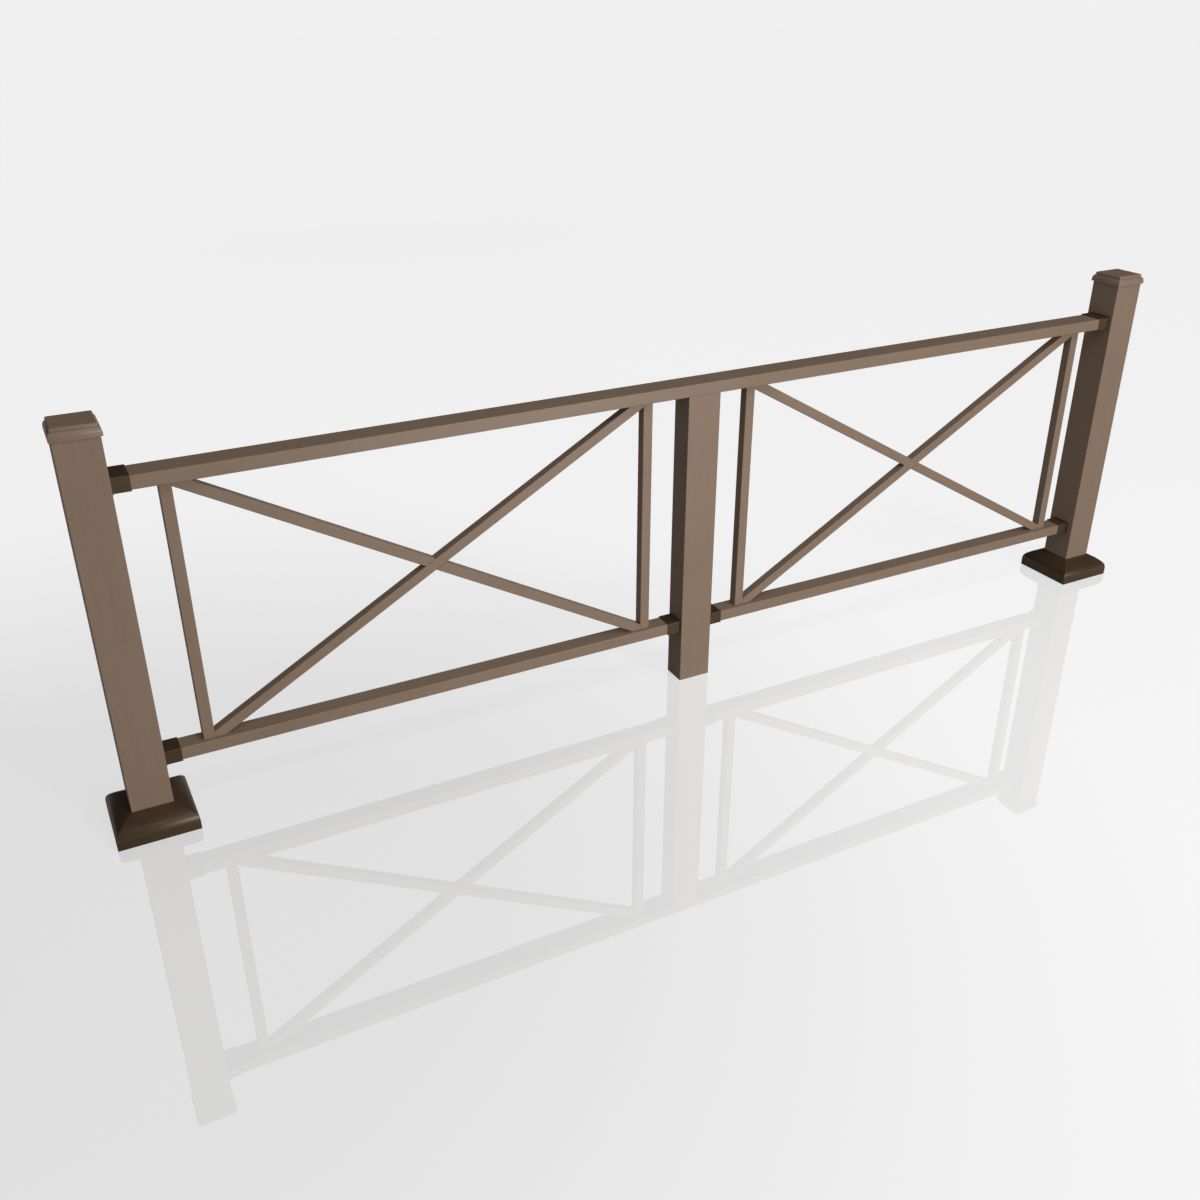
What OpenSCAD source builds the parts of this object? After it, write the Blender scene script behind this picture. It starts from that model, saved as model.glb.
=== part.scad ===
// Composite railing: two crossbuck bays between two end posts and one middle post.
// X runs along the railing, Y from the front to the back, Z up.
// The origin is the centre of the middle post's foot.

/* [Layout] */
// Distance between the centres of neighbouring posts
bay_pitch = 1829; // [1500:1:2400]
// Height of the top rail's upper face
rail_top = 1067; // [900:1:1130]
// Height of the bottom rails' upper face
bottom_rail_top = 229; // [160:1:320]
// Clear gap between a post and the picket beside it
picket_gap = 115.5; // [60:0.5:150]

/* [End posts] */
// Width of the square end posts
post_w = 117; // [110:0.5:130]
// Wall of all three post sleeves
post_wall = 11; // [8:0.5:14]
// How far the end post sleeves rise above the top rail, up to their seat in the cap
post_rise = 136; // [60:1:300]

/* [Middle post] */
// Width of the middle post along the railing
mid_post_w = 117; // [100:0.5:140]

/* [Rails] */
// Depth of the top rail, and of the middle post that is flush with it
top_rail_d = 84.5; // [76:0.5:100]
// Height of the top rail
top_rail_h = 39; // [30:0.5:60]
// Depth of the bottom rails
bottom_rail_d = 61.5; // [45:0.5:66]
// Height of the bottom rails
bottom_rail_h = 38.5; // [30:0.5:60]
// Walls of the hollow rails, and the web in the middle of the top rail
rail_wall = 7; // [4:0.5:9]

/* [Pickets and braces] */
// Width of the square pickets
picket_w = 33; // [25:0.5:40]
// Width of the square braces
brace_w = 31.5; // [20:0.5:40]
// Chamfer along the edges of posts, rails, brackets, pickets and braces
edge_chamfer = 1.2; // [0.4:0.1:2]
// Clearance at each cheek of the half lap where two braces cross
lap_gap = 0.2; // [0.1:0.05:0.5]

/* [Rail brackets] */
// How far a bracket reaches over the end of its rail
bracket_len = 48; // [30:1:70]
// Wall of a bracket's sleeve
bracket_wall = 2.5; // [1.5:0.1:4]
// Thickness of the plate that is screwed to the post
bracket_plate = 3; // [2:0.5:6]
// How far the plate stands proud of the sleeve all round
bracket_flange = 2; // [1:0.5:3]
// Diameter of the two screw holes under a bracket
bracket_hole = 4.5; // [3:0.5:6]

/* [Post caps] */
// How far the cap's lip stands out from the post
cap_overhang = 5.5; // [3:0.5:12]
// Height of the upright part of the lip
cap_lip_h = 8; // [4:0.5:14]
// Radius of the rounded moulding above the lip
cap_mould_r = 22; // [12:0.5:26]
// Angle that the rounded moulding turns through
cap_mould_turn = 45; // [35:1:50]
// Height of the groove under the top plate
cap_groove_h = 2.4; // [1:0.1:4]
// Depth of the groove under the top plate
cap_groove_d = 2.5; // [1:0.1:4]
// Height of the top plate's edge, with its chamfer
cap_plate_h = 7.5; // [5:0.5:12]
// Chamfer round the top plate
cap_chamfer = 3; // [1:0.5:4]
// How far the post reaches up into the cap
cap_pocket = 16; // [10:0.5:20]
// Thickness of the cap over its inner hollow
cap_roof = 6; // [4:0.5:8]

/* [Post skirts] */
// Width of a square skirt on the floor
skirt_w = 232; // [205:1:260]
// Height of the skirt's upright edge
skirt_edge_h = 27; // [15:1:40]
// Radius of the skirt's shoulder
skirt_shoulder_r = 34; // [20:1:45]
// Angle that the shoulder turns through
skirt_shoulder_turn = 48; // [40:1:55]
// Radius of the flatter crown between shoulder and post
skirt_crown_r = 130; // [110:1:200]
// Wall of the skirt's shell
skirt_wall = 4; // [2.5:0.5:6]

/* [Post mounts] */
// Thickness of the steel base plates
base_plate_t = 10; // [6:0.5:16]
// Diameter of the anchor bolt holes
bolt_d = 11; // [8:0.5:13]
// Distance from a base plate's edges to the bolt holes' centres
bolt_inset = 11.2; // [9:0.1:13]
// Width of the upright tube along the railing
tube_w = 50; // [40:1:54]
// Depth of the middle mount's tube, from front to back
mid_tube_d = 38; // [25:1:50]
// Wall of the upright tubes
tube_wall = 3; // [2:0.5:5]
// How far an end mount's tube stops below the top of its sleeve
mount_drop = 243; // [150:1:500]
// Thickness of the collar that centres a tube's top in its sleeve
collar_t = 12; // [8:1:20]

/* [Clearances] */
// Clearance of a piece that slips over or into another
fit_gap = 0.3; // [0.2:0.05:0.6]

/* [Hidden] */
composite = [0.50, 0.43, 0.37];
dark_bronze = [0.24, 0.19, 0.15];
steel = [0.58, 0.59, 0.61];

// Strips in each rounded stretch of a moulding
ARC_STEPS = 8;

mid_post_d = top_rail_d;
rail_under = rail_top - top_rail_h;
post_h = rail_top + post_rise;
end_mount_h = post_h - mount_drop;
end_face = bay_pitch - post_w / 2;
mid_face = mid_post_w / 2;
mid_post_h = rail_under;

bay_mid = (end_face + mid_face) / 2;
outer_picket_x = end_face - picket_gap - picket_w / 2;
inner_picket_x = mid_face + picket_gap + picket_w / 2;

// The clear opening that a pair of braces fills
open_w = outer_picket_x - inner_picket_x - picket_w;
open_h = rail_under - bottom_rail_top;
open_mid_z = bottom_rail_top + open_h / 2;
brace_angle = atan(open_h / open_w);
brace_reach = norm([open_w, open_h]) + 2 * brace_w;

cap_lip_half = post_w / 2 + cap_overhang;
cap_mould_top = cap_lip_h + cap_mould_r * sin(cap_mould_turn);
cap_neck_half = cap_lip_half - cap_mould_r * (1 - cos(cap_mould_turn));
cap_h = cap_mould_top + cap_groove_h + cap_plate_h;
cap_base_z = post_h - cap_pocket;

// Points along an arc about (x, z), from one angle to another
function arc(x, z, r, from, to) = [
    for (i = [0:ARC_STEPS])
        let (a = from + (to - from) * i / ARC_STEPS)
        [x + r * cos(a), z + r * sin(a)]
];

// Both sides of a moulding, from the points of its right-hand side, bottom to top
function both_sides(side) = concat(
    side,
    [for (i = [len(side) - 1:-1:0]) [-side[i][0], side[i][1]]]
);

// Rectangle with chamfered corners, centred
module chamfered(w, h, c) {
    polygon([
        [-w / 2 + c, -h / 2], [w / 2 - c, -h / 2], [w / 2, -h / 2 + c], [w / 2, h / 2 - c],
        [w / 2 - c, h / 2], [-w / 2 + c, h / 2], [-w / 2, h / 2 - c], [-w / 2, -h / 2 + c]
    ]);
}

// Lays a profile drawn in (y, z) along X, centred on its length
module along_x(length) {
    rotate([90, 0, 90])
        linear_extrude(height = length, center = true)
            children();
}

// Square body with the same moulding on its four sides and mitred corners
module mitred(side, reach) {
    intersection() {
        along_x(reach) polygon(both_sides(side));
        rotate([0, 0, 90]) along_x(reach) polygon(both_sides(side));
    }
}

// Block centred in X and Y that stands on z
module block(w, d, z, h) {
    translate([-w / 2, -d / 2, z]) cube([w, d, h]);
}

// Hollow post sleeve that stands on the floor
module sleeve(w, d, h) {
    color(composite)
        difference() {
            linear_extrude(height = h) chamfered(w, d, edge_chamfer);
            block(w - 2 * post_wall, d - 2 * post_wall, -1, h + 2);
        }
}

// Steel base plate with an upright tube, and a collar round the tube's top
module mount(w, d, tube_d, h) {
    plate_w = w - 2 * post_wall - 2 * fit_gap;
    plate_d = d - 2 * post_wall - 2 * fit_gap;
    color(steel)
        difference() {
            union() {
                block(plate_w, plate_d, 0, base_plate_t);
                block(tube_w, tube_d, 0, h);
                block(plate_w, plate_d, h - collar_t, collar_t);
            }
            block(tube_w - 2 * tube_wall, tube_d - 2 * tube_wall, base_plate_t, h);
            for (x = [-1, 1], y = [-1, 1])
                translate([x * (plate_w / 2 - bolt_inset), y * (plate_d / 2 - bolt_inset), -1])
                    cylinder(d = bolt_d, h = base_plate_t + 2, $fn = 48);
        }
}

// Right-hand side of the skirt's outline, set in by t from its outer face
function skirt_side(t) =
    let (
        shoulder_x = skirt_w / 2 - skirt_shoulder_r,
        turn = skirt_shoulder_turn,
        crown_x = shoulder_x - (skirt_crown_r - skirt_shoulder_r) * cos(turn),
        crown_z = skirt_edge_h - (skirt_crown_r - skirt_shoulder_r) * sin(turn),
        stop_x = post_w / 2 + fit_gap,
        crown_end = acos((stop_x - crown_x) / (skirt_crown_r - t))
    )
    concat(
        [[skirt_w / 2 - t, t > 0 ? -1 : 0]],
        arc(shoulder_x, skirt_edge_h, skirt_shoulder_r - t, 0, turn),
        [for (i = [1:ARC_STEPS]) arc(crown_x, crown_z, skirt_crown_r - t, turn, crown_end)[i]]
    );

// Moulded skirt that slips down over a post and hides its foot
module skirt() {
    color(dark_bronze)
        difference() {
            mitred(skirt_side(0), skirt_w + 2);
            mitred(skirt_side(skirt_wall), skirt_w + 2);
            block(post_w + 2 * fit_gap, post_w + 2 * fit_gap, -1, skirt_w);
        }
}

// Moulded cap that sits on a post's top end
module cap() {
    side = concat(
        [[cap_lip_half, 0]],
        arc(cap_lip_half - cap_mould_r, cap_lip_h, cap_mould_r, 0, cap_mould_turn),
        [
            [cap_neck_half - cap_groove_d, cap_mould_top],
            [cap_neck_half - cap_groove_d, cap_mould_top + cap_groove_h],
            [cap_neck_half - cap_groove_d / 2, cap_mould_top + cap_groove_h],
            [cap_neck_half - cap_groove_d / 2, cap_h - cap_chamfer],
            [cap_neck_half - cap_groove_d / 2 - cap_chamfer, cap_h]
        ]
    );
    pocket_w = post_w + 2 * fit_gap;
    hollow_w = post_w - 2 * post_wall;
    color(composite)
        translate([0, 0, cap_base_z])
            difference() {
                mitred(side, 2 * cap_lip_half + 2);
                block(pocket_w, pocket_w, -1, cap_pocket + 1);
                block(hollow_w, hollow_w, 0, cap_h - cap_roof);
            }
}

// Hollow rail between two brackets, centred on x, with its upper face at z
module rail(x, z, length, d, h, cells) {
    cell_w = (d - (cells + 1) * rail_wall) / cells;
    color(composite)
        translate([x, 0, z - h / 2])
            along_x(length)
                difference() {
                    chamfered(d, h, edge_chamfer);
                    for (i = [0:cells - 1])
                        translate([-d / 2 + rail_wall + i * (cell_w + rail_wall), rail_wall - h / 2])
                            square([cell_w, h - 2 * rail_wall]);
                }
}

// Cup that holds a rail's end: its plate is against the face at x, and it opens towards way
module bracket(x, way, z, d, h) {
    cup_d = d + 2 * (fit_gap + bracket_wall);
    cup_h = h + 2 * (fit_gap + bracket_wall);
    lip = 2 * bracket_flange;
    color(dark_bronze)
        translate([x, 0, z - h / 2])
            rotate([0, 0, way > 0 ? 0 : 180])
                difference() {
                    union() {
                        translate([bracket_len / 2, 0, 0])
                            along_x(bracket_len)
                                chamfered(cup_d, cup_h, edge_chamfer);
                        translate([bracket_plate / 2, 0, 0])
                            along_x(bracket_plate)
                                chamfered(cup_d + lip, cup_h + lip, edge_chamfer);
                    }
                    translate([bracket_plate + bracket_len / 2, 0, 0])
                        cube([bracket_len, d + 2 * fit_gap, h + 2 * fit_gap], center = true);
                    for (y = [-1, 1])
                        translate([(bracket_plate + bracket_len) / 2, y * d / 4, -cup_h / 2 - 1])
                            cylinder(d = bracket_hole, h = bracket_wall + fit_gap + 1, $fn = 24);
                }
}

// Picket that stands between the bottom and the top rail
module picket(x) {
    color(composite)
        translate([x, 0, bottom_rail_top])
            linear_extrude(height = open_h)
                chamfered(picket_w, picket_w, edge_chamfer);
}

// Brace from corner to corner of a bay, rising to the right for rise = 1.
// Half its thickness is cut away where the other brace crosses: on the back for the
// rising brace, and on the front for the falling one.
module brace(x, rise) {
    notch = brace_w + 2 * lap_gap;
    color(composite)
        translate([x, 0, open_mid_z])
            difference() {
                intersection() {
                    rotate([0, -rise * brace_angle, 0])
                        along_x(brace_reach)
                            chamfered(brace_w, brace_w, edge_chamfer);
                    cube([open_w, 2 * brace_w, open_h], center = true);
                }
                rotate([0, rise * brace_angle, 0])
                    translate([-brace_reach / 2, rise > 0 ? 0 : -brace_w, -notch / 2])
                        cube([brace_reach, brace_w, notch]);
            }
}

// Moves a piece of an end post from the middle to the left (side = -1) or right end
module at_end(side) {
    translate([side * bay_pitch, 0, 0]) children();
}

module end_post() {
    sleeve(post_w, post_w, post_h);
}

module mid_post() {
    sleeve(mid_post_w, mid_post_d, mid_post_h);
}

module end_mount() {
    mount(post_w, post_w, tube_w, end_mount_h);
}

module mid_mount() {
    mount(mid_post_w, mid_post_d, mid_tube_d, mid_post_h);
}

module top_rail() {
    rail(0, rail_top, 2 * (end_face - bracket_plate), top_rail_d, top_rail_h, 2);
}

module top_bracket(side) {
    bracket(side * end_face, -side, rail_top, top_rail_d, top_rail_h);
}

module bottom_rail(side) {
    rail(
        side * bay_mid, bottom_rail_top,
        end_face - mid_face - 2 * bracket_plate, bottom_rail_d, bottom_rail_h, 1
    );
}

module outer_bracket(side) {
    bracket(side * end_face, -side, bottom_rail_top, bottom_rail_d, bottom_rail_h);
}

module inner_bracket(side) {
    bracket(side * mid_face, side, bottom_rail_top, bottom_rail_d, bottom_rail_h);
}

at_end(-1) end_mount();  // left_post_mount
mid_mount();  // mid_post_mount
at_end(1) end_mount();  // right_post_mount
at_end(-1) end_post();  // left_post
mid_post();
at_end(1) end_post();  // right_post
at_end(-1) skirt();  // left_post_skirt
at_end(1) skirt();  // right_post_skirt
at_end(-1) cap();  // left_post_cap
at_end(1) cap();  // right_post_cap
top_rail();
bottom_rail(-1);  // left_bottom_rail
bottom_rail(1);  // right_bottom_rail
top_bracket(-1);  // top_rail_left_bracket
top_bracket(1);  // top_rail_right_bracket
outer_bracket(-1);  // left_bay_outer_bracket
inner_bracket(-1);  // left_bay_inner_bracket
inner_bracket(1);  // right_bay_inner_bracket
outer_bracket(1);  // right_bay_outer_bracket
picket(-outer_picket_x);  // left_bay_outer_picket
picket(-inner_picket_x);  // left_bay_inner_picket
picket(inner_picket_x);  // right_bay_inner_picket
picket(outer_picket_x);  // right_bay_outer_picket
brace(-bay_mid, 1);  // left_bay_rising_brace
brace(-bay_mid, -1);  // left_bay_falling_brace
brace(bay_mid, 1);  // right_bay_rising_brace
brace(bay_mid, -1);  // right_bay_falling_brace
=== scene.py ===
import math

import bmesh
import bpy
from mathutils import Matrix, Vector


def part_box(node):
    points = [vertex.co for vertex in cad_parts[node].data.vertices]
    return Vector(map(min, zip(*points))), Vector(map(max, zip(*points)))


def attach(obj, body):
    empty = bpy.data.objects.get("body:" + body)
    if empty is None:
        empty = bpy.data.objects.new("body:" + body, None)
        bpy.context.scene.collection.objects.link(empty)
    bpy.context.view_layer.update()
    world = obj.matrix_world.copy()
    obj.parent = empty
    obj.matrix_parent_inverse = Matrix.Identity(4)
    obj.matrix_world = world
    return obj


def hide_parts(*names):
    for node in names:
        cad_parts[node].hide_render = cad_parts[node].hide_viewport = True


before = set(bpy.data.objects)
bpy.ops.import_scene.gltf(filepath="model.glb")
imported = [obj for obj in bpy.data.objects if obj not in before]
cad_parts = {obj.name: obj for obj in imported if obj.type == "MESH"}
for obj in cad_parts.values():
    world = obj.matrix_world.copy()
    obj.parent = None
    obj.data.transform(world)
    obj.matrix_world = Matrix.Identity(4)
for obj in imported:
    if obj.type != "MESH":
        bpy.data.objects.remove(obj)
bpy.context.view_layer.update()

# Post mounts: a galvanised steel base plate with a welded tube, one inside each post.
# A collar round the tube's top centres it in the sleeve, and four bolts hold the plate down.
MM = 0.001
STEEL_COLOUR = (0.40, 0.41, 0.42, 1)
ZINC_COLOUR = (0.52, 0.53, 0.54, 1)
ZINC_ROUGHNESS = 0.45
SPANGLE_ROUGHNESS = 0.25
SPANGLE_SCALE = 55.0
SAME_CORNER = 0.01 * MM
ROUNDED_FROM = math.radians(30)


class Wire:
    """A socket's output in a material, with sums that add Math nodes."""

    def __init__(self, finish, socket):
        self.finish = finish
        self.socket = socket

    def sum(self, operation, left, right):
        return self.finish.node("ShaderNodeMath", {0: left, 1: right}, operation=operation)

    def __add__(self, other):
        return self.sum("ADD", self, other)

    def __sub__(self, other):
        return self.sum("SUBTRACT", self, other)

    def __mul__(self, other):
        return self.sum("MULTIPLY", self, other)

    def __rsub__(self, other):
        return self.sum("SUBTRACT", other, self)

    __radd__ = __add__
    __rmul__ = __mul__


class Finish:
    """A material on a Principled shader, and the nodes that vary it over a surface."""

    def __init__(self, name, **shader_values):
        self.material = bpy.data.materials.new(name)
        self.material.use_nodes = True
        self.tree = self.material.node_tree
        self.shader = self.tree.nodes["Principled BSDF"]
        for socket, value in shader_values.items():
            self.shader.inputs[socket.replace("_", " ")].default_value = value

    def node(self, kind, values, output=0, **settings):
        """Adds a node: its settings first, then its sockets' values or links."""
        node = self.tree.nodes.new(kind)
        for name, value in settings.items():
            setattr(node, name, value)
        for socket, value in values.items():
            self.join(node.inputs[socket], value)
        return Wire(self, node.outputs[output])

    def join(self, socket, value):
        if isinstance(value, Wire):
            self.tree.links.new(value.socket, socket)
        else:
            socket.default_value = value

    def drive(self, name, wire):
        self.join(self.shader.inputs[name], wire)

    def show(self, wire):
        """Puts another shader in the Principled one's place."""
        self.join(self.tree.nodes["Material Output"].inputs["Surface"], wire)

    def place(self, scale=(1, 1, 1), turn=0.0):
        """The piece's own coordinates, turned about Y and stretched along its grain."""
        here = self.node("ShaderNodeTexCoord", {}, output="Object")
        turned = self.node("ShaderNodeMapping", {"Vector": here, "Rotation": (0, turn, 0)})
        return self.node("ShaderNodeMapping", {"Vector": turned, "Scale": scale})

    def noise(self, where, scale, detail=3.0):
        """Noise about zero, from about -0.5 to 0.5."""
        values = {"Vector": where, "Scale": scale, "Detail": detail}
        return self.node("ShaderNodeTexNoise", values) - 0.5

    def blend(self, factor, first, second):
        """A colour between two, where the factor says."""
        values = {"Factor": factor, 6: first, 7: second}
        return self.node("ShaderNodeMix", values, output=2, data_type="RGBA")

    def bump(self, height, distance, strength):
        values = {"Height": height, "Distance": distance, "Strength": strength}
        self.drive("Normal", self.node("ShaderNodeBump", values))


def galvanised():
    finish = Finish("galvanised_steel", Metallic=0.85, Roughness=ZINC_ROUGHNESS)
    spangle = finish.noise(finish.place(), SPANGLE_SCALE)
    finish.drive("Base Color", finish.blend(spangle + 0.5, STEEL_COLOUR, ZINC_COLOUR))
    finish.drive("Roughness", ZINC_ROUGHNESS + spangle * SPANGLE_ROUGHNESS)
    return finish.material


def dress(node, material):
    """Puts one material on a carried-over node."""
    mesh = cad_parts[node].data
    mesh.materials.clear()
    mesh.materials.append(material)


def soften(node, width):
    """Rounds a carried-over node's edges slightly, as a moulded or planed edge is."""
    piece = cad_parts[node]
    weld = piece.modifiers.new("weld", "WELD")
    weld.merge_threshold = SAME_CORNER
    edge = piece.modifiers.new("edge", "BEVEL")
    edge.width = width
    edge.segments = 2
    edge.limit_method = "ANGLE"
    edge.angle_limit = ROUNDED_FROM


steel = galvanised()
for node in ("left_post_mount", "mid_post_mount", "right_post_mount"):
    dress(node, steel)

# Post sleeves: extruded wood-plastic composite, taupe brown, slipped over the mounts.
# The end sleeves run up into their caps, and the middle one stops under the top rail.
TAUPE = (0.287, 0.197, 0.139, 1)
TAUPE_PALE = (0.327, 0.229, 0.165, 1)
TAUPE_DEEP = (0.250, 0.170, 0.118, 1)
COMPOSITE_ROUGHNESS = 0.39
COMPOSITE_GLOSS = 0.42
STREAK_ROUGHNESS = 0.14
SPECK_ROUGHNESS = 0.08
CLOUD_SCALE = 3.2
STREAK_SCALE = (5, 95, 95)
FIBRE_SCALE = (24, 520, 520)
SPECK_SCALE = 900.0
GRAIN_DEPTH = 0.12 * MM
ALONG_X = 0.0
ALONG_Z = math.pi / 2
EDGE = 0.5 * MM


def composite(name, turn):
    """Composite with its faint grain along the bar: turn is the bar's slope about Y."""
    finish = Finish(name, Roughness=COMPOSITE_ROUGHNESS, Specular_IOR_Level=COMPOSITE_GLOSS)
    here = finish.place()
    cloud = finish.noise(here, CLOUD_SCALE, detail=2.0)
    streak = finish.noise(finish.place(STREAK_SCALE, turn), 1.0, detail=4.0)
    fibre = finish.noise(finish.place(FIBRE_SCALE, turn), 1.0, detail=2.0)
    speck = finish.noise(here, SPECK_SCALE, detail=1.0)
    shade = cloud * 0.6 + streak * 0.5 + fibre * 0.5 + speck * 0.3
    deep = finish.blend(shade + 0.5, TAUPE_DEEP, TAUPE)
    finish.drive("Base Color", finish.blend(shade + 0.5, deep, TAUPE_PALE))
    unevenness = streak * STREAK_ROUGHNESS + speck * SPECK_ROUGHNESS
    finish.drive("Roughness", COMPOSITE_ROUGHNESS + unevenness)
    finish.bump(fibre + speck * 0.6, GRAIN_DEPTH, 0.5)
    return finish.material


upright = composite("composite_upright", ALONG_Z)
for node in ("left_post", "mid_post", "right_post"):
    dress(node, upright)
    soften(node, EDGE)

# Post skirts: moulded plastic in dark bronze, slid down round the foot of each end post.
# Each is a thin shell: an upright edge, a round shoulder, then a flatter crown to the post.
BRONZE = (0.060, 0.033, 0.015, 1)
BRONZE_WORN = (0.073, 0.042, 0.021, 1)
BRONZE_GLOSS = (1.0, 0.88, 0.70, 1)
BRONZE_ROUGHNESS = 0.38
BRONZE_SHINE = 0.75
MOTTLE_SCALE = 14.0
GRIT_SCALE = 1300.0
GRIT_DEPTH = 0.05 * MM
SKIRT_EDGE_H = 27 * MM
SHOULDER_R = 34 * MM
SHOULDER_TURN = math.radians(48)
CROWN_R = 130 * MM
SKIRT_WALL = 4 * MM
SHOULDER_STEPS = 14
CROWN_STEPS = 12
FIT_GAP = 0.3 * MM
MITRE_ROUND = 1.2 * MM
FLAT = math.radians(1)
SMOOTH_UP_TO = math.radians(28)
ON_MITRE = 0.001 * MM
SAME_POINT = 0.002 * MM


def bronze():
    finish = Finish("dark_bronze_moulding", Specular_IOR_Level=BRONZE_SHINE, Specular_Tint=BRONZE_GLOSS)
    here = finish.place()
    mottle = finish.noise(here, MOTTLE_SCALE)
    grit = finish.noise(here, GRIT_SCALE, detail=1.0)
    finish.drive("Base Color", finish.blend(mottle * 0.9 + grit * 0.5 + 0.5, BRONZE, BRONZE_WORN))
    finish.drive("Roughness", BRONZE_ROUGHNESS + mottle * 0.1 + grit * 0.08)
    finish.bump(grit, GRIT_DEPTH, 0.4)
    return finish.material


def arc(x, z, radius, start, end, steps):
    """Points (half width, height) along an arc about (x, z)."""
    angles = [start + (end - start) * step / steps for step in range(steps + 1)]
    return [(x + radius * math.cos(a), z + radius * math.sin(a)) for a in angles]


def square_loft(centre, path):
    """A square ring drawn along a path of (half width, height), with its two end loops."""
    mesh = bmesh.new()
    half, height = path[0]
    start = Matrix.Translation((centre.x, centre.y, height)) @ Matrix.Rotation(math.pi / 4, 4, "Z")
    ring = bmesh.ops.create_circle(mesh, segments=4, radius=half * math.sqrt(2), matrix=start)
    edges = list({edge for vert in ring["verts"] for edge in vert.link_edges})
    first = list(edges)
    for next_half, next_height in path[1:]:
        drawn = bmesh.ops.extrude_edge_only(mesh, edges=edges)["geom"]
        verts = [item for item in drawn if isinstance(item, bmesh.types.BMVert)]
        edges = [item for item in drawn if isinstance(item, bmesh.types.BMEdge)]
        to_axis = Matrix.Translation((-centre.x, -centre.y, 0))
        size = next_half / half
        bmesh.ops.scale(mesh, verts=verts, vec=(size, size, 1), space=to_axis)
        bmesh.ops.translate(mesh, verts=verts, vec=(0, 0, next_height - height))
        half, height = next_half, next_height
    return mesh, first, edges


def round_mitres(mesh, centre, width):
    """Rounds the mitred corners of a square moulding, but not where its faces lie flat."""
    def on_corner(vert):
        return abs(abs(vert.co.x - centre.x) - abs(vert.co.y - centre.y)) < ON_MITRE

    mitres = []
    for edge in mesh.edges:
        first, second = edge.verts
        along = abs(first.co.x - second.co.x) - abs(first.co.y - second.co.y)
        same_quarter = (first.co - centre).xy.dot((second.co - centre).xy) > 0
        if on_corner(first) and on_corner(second) and abs(along) < ON_MITRE and same_quarter:
            if edge.calc_face_angle(0.0) > FLAT:
                mitres.append(edge)
    bmesh.ops.bevel(
        mesh, geom=mitres, offset=width, offset_type="OFFSET", affect="EDGES",
        segments=2, profile=0.5, clamp_overlap=True, material=-1,
    )


def keep(mesh, name, material, slot, *nodes):
    """Turns a finished bmesh into a piece of the object."""
    bmesh.ops.remove_doubles(mesh, verts=mesh.verts, dist=SAME_POINT)
    bmesh.ops.recalc_face_normals(mesh, faces=mesh.faces)
    data = bpy.data.meshes.new(name)
    mesh.to_mesh(data)
    mesh.free()
    data.shade_smooth()
    data.set_sharp_from_angle(angle=SMOOTH_UP_TO)
    data.materials.append(material)
    piece = bpy.data.objects.new(name, data)
    bpy.context.scene.collection.objects.link(piece)
    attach(piece, "root")
    if nodes:
        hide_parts(*nodes)


def middle(node):
    """The point on the floor under a node's middle."""
    low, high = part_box(node)
    return Vector(((low.x + high.x) / 2, (low.y + high.y) / 2, 0))


def skirt_side(half, post_half, inset):
    """One side of the skirt from its lower edge up to the post, set in from its face."""
    shoulder_x = half - SHOULDER_R
    crown_x = shoulder_x - (CROWN_R - SHOULDER_R) * math.cos(SHOULDER_TURN)
    crown_z = SKIRT_EDGE_H - (CROWN_R - SHOULDER_R) * math.sin(SHOULDER_TURN)
    radius = CROWN_R - inset
    crown_end = math.acos((post_half + FIT_GAP - crown_x) / radius)
    shoulder = arc(shoulder_x, SKIRT_EDGE_H, SHOULDER_R - inset, 0, SHOULDER_TURN, SHOULDER_STEPS)
    crown = arc(crown_x, crown_z, radius, SHOULDER_TURN, crown_end, CROWN_STEPS)
    return [(half - inset, 0)] + shoulder + crown[1:]


dark = bronze()
for side in ("left", "right"):
    node = side + "_post_skirt"
    centre = middle(node)
    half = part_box(node)[1].x - centre.x
    post_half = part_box(side + "_post")[1].x - centre.x
    outside = skirt_side(half, post_half, 0)
    inside = skirt_side(half, post_half, SKIRT_WALL)
    mesh = square_loft(centre, inside + outside[::-1] + inside[:1])[0]
    bmesh.ops.remove_doubles(mesh, verts=mesh.verts, dist=SAME_POINT)
    round_mitres(mesh, centre, MITRE_ROUND)
    keep(mesh, side + "_skirt_moulding", dark, "dark_trim", node)

# Rails: flat hollow bars of the same composite, held in a bracket at each end.
# One top rail runs over the middle post, and a bottom rail in each bay stops at the posts.
flat = composite("composite_along_rail", ALONG_X)
for node in ("top_rail", "left_bottom_rail", "right_bottom_rail"):
    dress(node, flat)
    soften(node, EDGE)

# Rail brackets: moulded cups, dark as the skirts, on the posts round the ends of the rails.
# Two blackened pan-head screws come up through each bracket's floor into its rail.
HEAD_R = 4.2 * MM
HEAD_H = 1.9 * MM
HEAD_ROUND = 0.9 * MM
HEAD_SIDES = 24
SHANK_R = 2.1 * MM
SHANK_H = 9 * MM
SHANK_SIDES = 16
SCREW_COLOUR = (0.055, 0.050, 0.046, 1)
SCREW_ROUGHNESS = 0.42
WEAR_SCALE = 420.0
BRACKETS = {
    "top_rail_left_bracket": ("top_rail", 1),
    "top_rail_right_bracket": ("top_rail", -1),
    "left_bay_outer_bracket": ("left_bottom_rail", 1),
    "left_bay_inner_bracket": ("left_bottom_rail", -1),
    "right_bay_inner_bracket": ("right_bottom_rail", 1),
    "right_bay_outer_bracket": ("right_bottom_rail", -1),
}
BRACKET_PLATE = 3 * MM
BRACKET_FLOOR = 2.5 * MM
BRACKET_EDGE = 0.35 * MM
HOLE_SPREAD = 0.25


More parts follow.
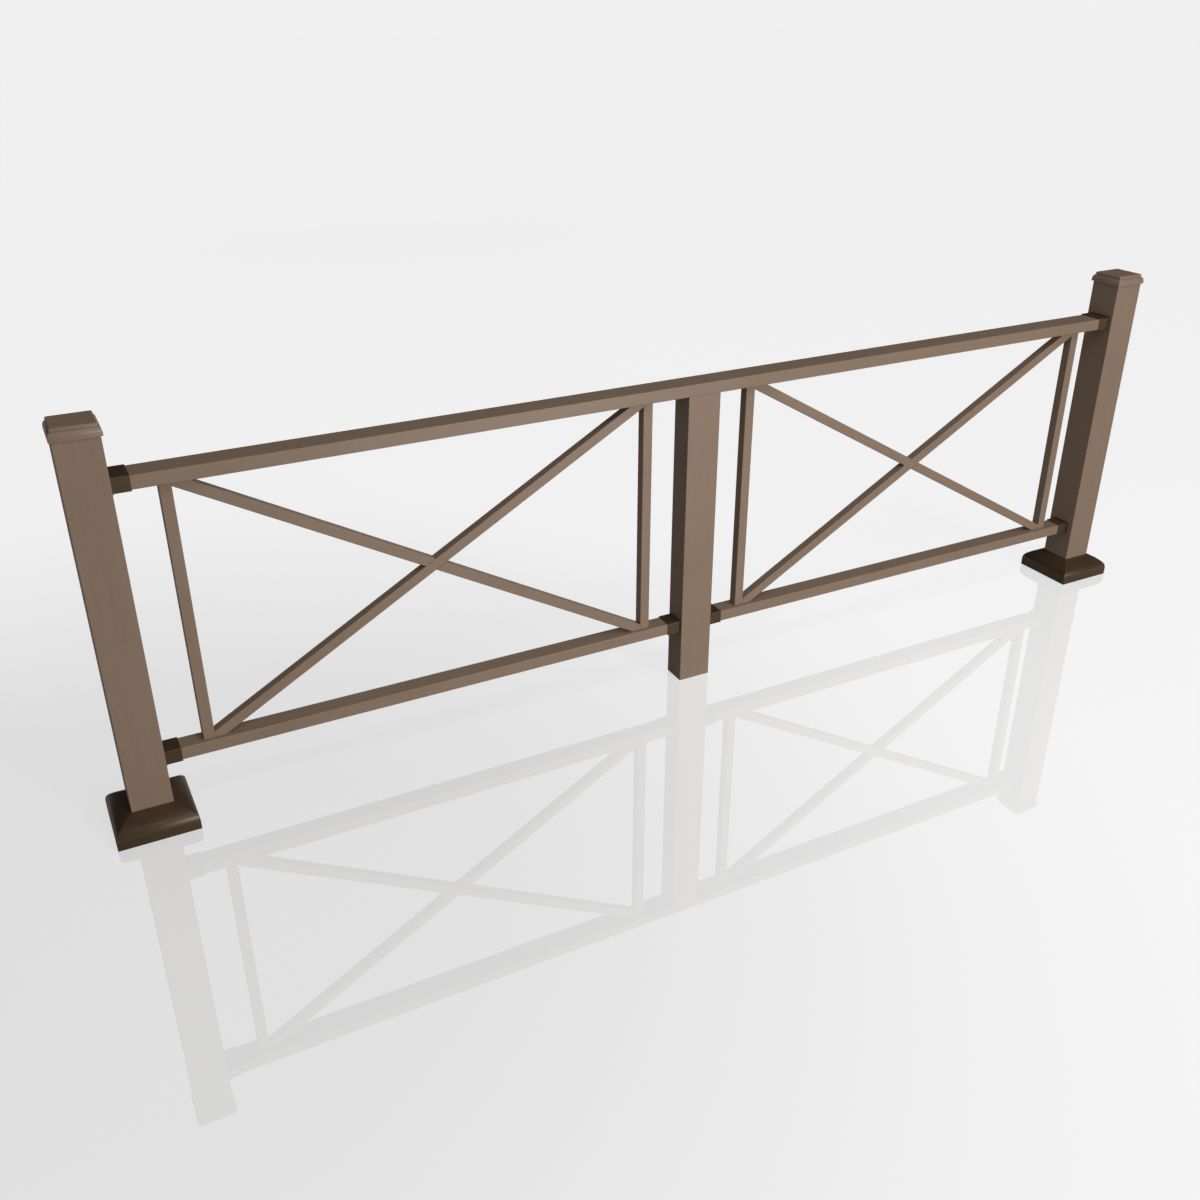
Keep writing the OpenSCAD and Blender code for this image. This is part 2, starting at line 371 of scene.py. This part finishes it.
def blackened():
    finish = Finish("blackened_screw", Metallic=0.8, Roughness=SCREW_ROUGHNESS)
    worn = finish.noise(finish.place(), WEAR_SCALE)
    finish.drive("Base Color", finish.blend(worn + 0.5, SCREW_COLOUR, STEEL_COLOUR))
    finish.drive("Roughness", SCREW_ROUGHNESS + worn * 0.2)
    return finish.material


def add_screw(mesh, at):
    """A pan-head screw that points up, with its head's top face at the point given."""
    head = bmesh.ops.create_cone(
        mesh, segments=HEAD_SIDES, cap_ends=True, radius1=HEAD_R, radius2=HEAD_R, depth=HEAD_H,
        matrix=Matrix.Translation(at - Vector((0, 0, HEAD_H / 2))),
    )["verts"]
    faces = {face for vert in head for face in vert.link_faces}
    underside = min(faces, key=lambda face: face.calc_center_median().z)
    bmesh.ops.bevel(
        mesh, geom=list(underside.edges), offset=HEAD_ROUND, offset_type="OFFSET", affect="EDGES",
        segments=3, profile=0.5, clamp_overlap=True, material=-1,
    )
    bmesh.ops.create_cone(
        mesh, segments=SHANK_SIDES, cap_ends=True, radius1=SHANK_R, radius2=SHANK_R, depth=SHANK_H,
        matrix=Matrix.Translation(at + Vector((0, 0, SHANK_H / 2))),
    )


screw_steel = blackened()
for node, (rail, way) in BRACKETS.items():
    dress(node, dark)
    soften(node, BRACKET_EDGE)
    low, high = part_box(node)
    rail_low, rail_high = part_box(rail)
    length = high.x - low.x
    post_face = low.x if way > 0 else high.x
    x = post_face + way * (length + BRACKET_PLATE) / 2
    depth = rail_high.y - rail_low.y
    floor_z = rail_low.z - FIT_GAP - BRACKET_FLOOR
    mesh = bmesh.new()
    for y in (-HOLE_SPREAD * depth, HOLE_SPREAD * depth):
        add_screw(mesh, Vector((x, y, floor_z)))
    keep(mesh, node + "_screws", screw_steel, "steel_mount")

# Pickets: square composite bars that stand between the bottom and the top rail.
# One is near each post, and together they frame the bay's crossed braces.
for node in (
    "left_bay_outer_picket", "left_bay_inner_picket",
    "right_bay_inner_picket", "right_bay_outer_picket",
):
    dress(node, upright)
    soften(node, EDGE)

# Braces: two square composite bars cross in each bay, cut to a point in its corners.
# They are half-lapped where they cross, so that both stay in the same plane.
for side in ("left", "right"):
    for way, name in ((1, "rising"), (-1, "falling")):
        node = side + "_bay_" + name + "_brace"
        low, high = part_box(node)
        slope = math.atan2(high.z - low.z, high.x - low.x)
        dress(node, composite("composite_" + node, way * slope))
        soften(node, EDGE)

# Post caps: moulded composite, pressed over the top of each end post.
# A lip, a round moulding, a groove and a flat top plate with a chamfered edge.
CAP_LIP_H = 8 * MM
CAP_MOULD_R = 22 * MM
CAP_MOULD_TURN = math.radians(45)
CAP_GROOVE_H = 2.4 * MM
CAP_GROOVE_D = 2.5 * MM
CAP_CHAMFER = 3 * MM
CAP_SEAT_W = 11 * MM
CAP_ROOF = 6 * MM
CAP_MITRE_ROUND = 0.8 * MM
MOULD_STEPS = 12

moulded = composite("composite_moulded", ALONG_X)
for side in ("left", "right"):
    node = side + "_post_cap"
    centre = middle(node)
    low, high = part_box(node)
    lip = high.x - centre.x
    post_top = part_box(side + "_post")[1]
    pocket = post_top.x - centre.x + FIT_GAP
    hollow = pocket - FIT_GAP - CAP_SEAT_W
    seat = post_top.z
    top = high.z
    mould_top = low.z + CAP_LIP_H + CAP_MOULD_R * math.sin(CAP_MOULD_TURN)
    neck = lip - CAP_MOULD_R * (1 - math.cos(CAP_MOULD_TURN))
    path = [(hollow, top - CAP_ROOF), (hollow, seat), (pocket, seat), (pocket, low.z), (lip, low.z)]
    path += arc(lip - CAP_MOULD_R, low.z + CAP_LIP_H, CAP_MOULD_R, 0, CAP_MOULD_TURN, MOULD_STEPS)
    path += [
        (neck - CAP_GROOVE_D, mould_top),
        (neck - CAP_GROOVE_D, mould_top + CAP_GROOVE_H),
        (neck - CAP_GROOVE_D / 2, mould_top + CAP_GROOVE_H),
        (neck - CAP_GROOVE_D / 2, top - CAP_CHAMFER),
        (neck - CAP_GROOVE_D / 2 - CAP_CHAMFER, top),
    ]
    mesh, first, last = square_loft(centre, path)
    bmesh.ops.contextual_create(mesh, geom=first)
    bmesh.ops.contextual_create(mesh, geom=last)
    round_mitres(mesh, centre, CAP_MITRE_ROUND)
    keep(mesh, side + "_cap_moulding", moulded, "composite", node)

# The room: a wide pale floor, polished so that it mirrors the railing faintly, and white air.
# Both look pale to the camera and give little light, which comes from four soft panels:
# one far off in front, one above, a low strip near the floor and one behind.
FLOOR_HALF = 60.0
# The floor's glow is painted: painted shade round a spot by the left post, and painted light, brighter
# than white, farther off.
FLOOR_PAINTED_SHADE = (0.874, 0.874, 0.874, 1)
FLOOR_PAINTED_LIGHT = (1.11, 1.11, 1.11, 1)
FLOOR_GLOW = 0.72
SKY_SHOWN = 0.87
SKY_LIGHT = 0.225
SKY_GLOSS = 0.03
FLOOR_IOR = 1.9
FLOOR_PAINT = (0.30, 0.30, 0.30, 1)
FLOOR_SHADED = (0.80, 0.80, 0.80, 1)
WHITE = (1, 1, 1, 1)
PAINTED_SHADE_SPOT = (-2.0, -0.3, 0)
DIM_UP_TO = 0.7
BRIGHT_FROM = 3.1


def pale_floor():
    finish = Finish("pale_floor")
    # Painted shade and light on the floor: the glow is dimmer near the spot and brighter away from it.
    spots = {0: finish.place(), 1: PAINTED_SHADE_SPOT}
    away = finish.node("ShaderNodeVectorMath", spots, output="Value", operation="DISTANCE")
    span = {"Value": away, "From Min": DIM_UP_TO, "From Max": BRIGHT_FROM}
    reach = finish.node("ShaderNodeMapRange", span, interpolation_type="SMOOTHSTEP")
    colour = finish.blend(reach, FLOOR_PAINTED_SHADE, FLOOR_PAINTED_LIGHT)
    glow = finish.node("ShaderNodeEmission", {"Color": colour, "Strength": 1.0})
    paint = finish.node("ShaderNodeBsdfDiffuse", {"Color": FLOOR_PAINT})
    shaded = finish.node("ShaderNodeBsdfDiffuse", {"Color": FLOOR_SHADED})
    shown = finish.node("ShaderNodeMixShader", {"Fac": FLOOR_GLOW, 1: shaded, 2: glow})
    rays = finish.node("ShaderNodeLightPath", {}, output="Is Camera Ray")
    plain = finish.node("ShaderNodeMixShader", {"Fac": rays, 1: paint, 2: shown})
    mirror = finish.node("ShaderNodeBsdfGlossy", {"Color": WHITE, "Roughness": 0.0})
    gloss = finish.node("ShaderNodeFresnel", {"IOR": FLOOR_IOR})
    finish.show(finish.node("ShaderNodeMixShader", {"Fac": gloss, 1: plain, 2: mirror}))
    return finish.material


class Air(Finish):
    """The world's background, made with the same nodes as a finish."""

    def __init__(self, name):
        self.world = bpy.data.worlds.new(name)
        self.world.use_nodes = True
        self.tree = self.world.node_tree
        self.shader = self.tree.nodes["Background"]


floor_mesh = bmesh.new()
bmesh.ops.create_grid(floor_mesh, x_segments=1, y_segments=1, size=FLOOR_HALF)
floor_data = bpy.data.meshes.new("floor")
floor_mesh.to_mesh(floor_data)
floor_mesh.free()
floor_data.materials.append(pale_floor())
floor = bpy.data.objects.new("floor", floor_data)
bpy.context.scene.collection.objects.link(floor)

air = Air("air")
bpy.context.scene.world = air.world
seen = air.node("ShaderNodeLightPath", {}, output="Is Camera Ray")
mirrored = air.node("ShaderNodeLightPath", {}, output="Is Singular Ray")
glossy = air.node("ShaderNodeLightPath", {}, output="Is Glossy Ray")
shown = air.node("ShaderNodeMath", {0: seen, 1: mirrored}, operation="MAXIMUM")
lit = SKY_LIGHT + glossy * (SKY_GLOSS - SKY_LIGHT)
air.drive("Strength", lit + shown * (SKY_SHOWN - lit))
air.drive("Color", WHITE)

# Each panel has its place, width, height and strength. The strip and the back panel would
# leave a hot spot on the floor, so it is unlit by them, and the back one shows in no gloss.
PANEL_AIM = Vector((0.0, 0.0, 0.7))
PANELS = {
    "key": (Vector((4.0, -11.0, 4.5)), 3.0, 3.0, 20.9),
    "overhead": (Vector((0.4, -2.2, 4.2)), 5.0, 0.8, 3.0),
    "strip": (Vector((0.6, -3.2, 0.3)), 1.4, 0.5, 8.6),
    "back": (Vector((2.0, 9.0, 1.8)), 3.0, 3.0, 9.2),
}
KEPT_OFF_FLOOR = ("strip", "back")


def lit_panel(name, strength):
    """Light from a panel's front; its back and its mirror image in the floor are clear."""
    finish = Finish(name)
    mirrored = finish.node("ShaderNodeLightPath", {}, output="Is Singular Ray")
    behind = finish.node("ShaderNodeNewGeometry", {}, output="Backfacing")
    lit = (1.0 - mirrored) * (1.0 - behind)
    clear = finish.node("ShaderNodeBsdfTransparent", {})
    glow = finish.node("ShaderNodeEmission", {"Strength": strength})
    finish.show(finish.node("ShaderNodeMixShader", {"Fac": lit, 1: clear, 2: glow}))
    return finish.material


for name, (at, width, height, strength) in PANELS.items():
    mesh = bmesh.new()
    facing = (PANEL_AIM - at).to_track_quat("Z", "Y").to_matrix().to_4x4()
    size = Matrix.Diagonal((width, height, 1, 1))
    bmesh.ops.create_grid(mesh, x_segments=1, y_segments=1, size=0.5, matrix=size)
    data = bpy.data.meshes.new(name)
    mesh.to_mesh(data)
    mesh.free()
    data.materials.append(lit_panel(name, strength))
    panel = bpy.data.objects.new(name, data)
    panel.matrix_world = Matrix.Translation(at) @ facing
    panel.visible_camera = False
    panel.visible_shadow = False
    panel.visible_glossy = name != "back"
    bpy.context.scene.collection.objects.link(panel)
    if name in KEPT_OFF_FLOOR:
        unlit = bpy.data.collections.new("unlit_by_" + name)
        unlit.objects.link(floor)
        unlit.collection_objects[0].light_linking.link_state = "EXCLUDE"
        panel.light_linking.receiver_collection = unlit

# The camera: where the photograph was taken from, in front of the left post.
# It looks to the right along the railing and down.
CAMERA_AT = Vector((-1.982, -3.133, 2.174))
CAMERA_TURN = 0.4797
CAMERA_TILT = -0.4727
CAMERA_ROLL = -0.0012
LENS_MM = 36.03
SENSOR_MM = 36.0

camera_data = bpy.data.cameras.new("camera")
camera_data.lens = LENS_MM
camera_data.sensor_width = SENSOR_MM
camera = bpy.data.objects.new("camera", camera_data)
camera.location = CAMERA_AT
turn = Matrix.Rotation(-CAMERA_TURN, 3, "Z")
tilt = Matrix.Rotation(math.pi / 2 + CAMERA_TILT, 3, "X")
roll = Matrix.Rotation(CAMERA_ROLL, 3, "Z")
camera.rotation_euler = (turn @ tilt @ roll).to_euler()
bpy.context.scene.collection.objects.link(camera)
bpy.context.scene.camera = camera

bpy.context.scene.view_settings.view_transform = "Standard"
